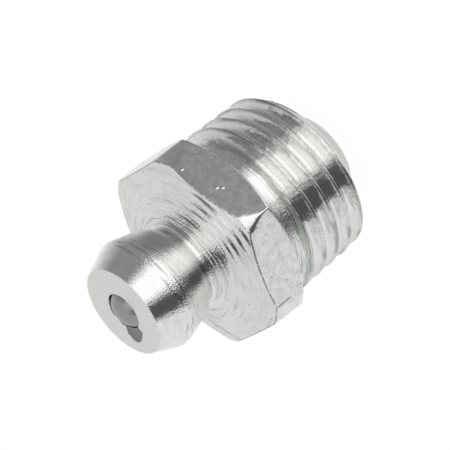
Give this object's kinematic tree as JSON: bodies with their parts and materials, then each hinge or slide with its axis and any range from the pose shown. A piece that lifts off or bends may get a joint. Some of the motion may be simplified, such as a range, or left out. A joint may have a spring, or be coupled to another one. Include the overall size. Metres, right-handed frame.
{
  "type": "grease nipple",
  "caption": "Hydraulic cone-type grease nipple: coupler head with sprung check ball, spanner hexagon and short tapered threaded shank with a plain pilot end.",
  "frame": {"origin": "centre of the pilot's end face, the lowest point of the nipple standing on its threaded end", "axes": "+Z along the axis from the threaded shank to the coupler head; a hexagon corner points along -Y and two flats face +X and -X"},
  "size_m": [0.0108, 0.0126, 0.0155],
  "materials": {
    "zinc_plate": "bright zinc plating over turned steel, semi-gloss with fine turning lines",
    "ball_steel": "ground hardened steel, satin",
    "spring_steel": "drawn spring wire, satin"
  },
  "bodies": {
    "nipple": {"body": "zinc_plate", "spring": "spring_steel"},
    "ball": {"ball": "ball_steel"}
  },
  "joints": [
    {"name": "ball_lift", "type": "slide", "parent": "nipple", "child": "ball", "axis": [0, 0, -1], "range_m": [0, 0.001], "stiffness_N_per_m": 1200, "deforming": ["spring"]}
  ]
}
